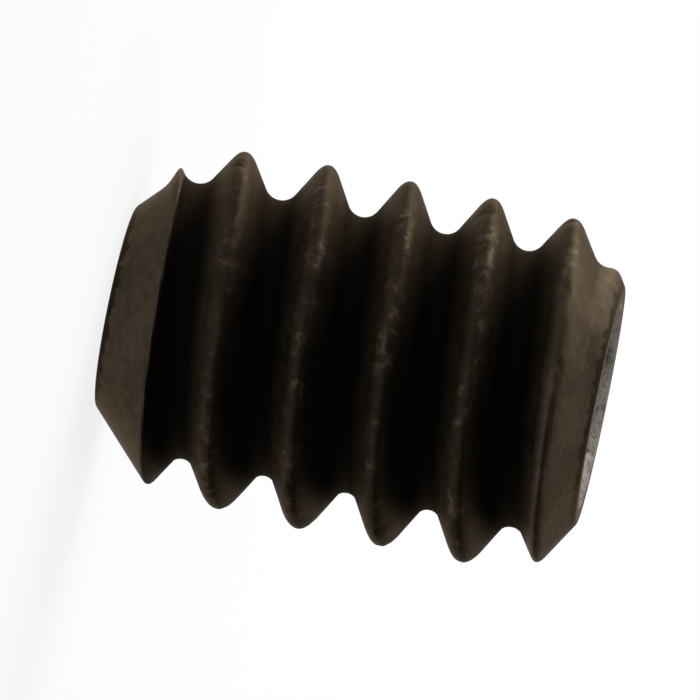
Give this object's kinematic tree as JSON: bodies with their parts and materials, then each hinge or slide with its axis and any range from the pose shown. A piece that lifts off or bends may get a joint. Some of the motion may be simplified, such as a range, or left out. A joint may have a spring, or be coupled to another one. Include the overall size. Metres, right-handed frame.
{
  "type": "socket set screw",
  "caption": "Headless set screw of black-oxide steel, threaded along its whole length, with a hexagon socket in one end and a cup point on the other that bites into a shaft.",
  "frame": {"origin": "centre of the cup point's rim, on the surface that the screw stands on", "axes": "+Z along the screw's axis, from the cup point to the socket end; +X through a corner-to-corner line of the socket"},
  "size_m": [0.0034, 0.0034, 0.0047],
  "materials": {
    "black_oxide_steel": "satin"
  },
  "bodies": {
    "root": {"set_screw": "black_oxide_steel"}
  },
  "joints": []
}
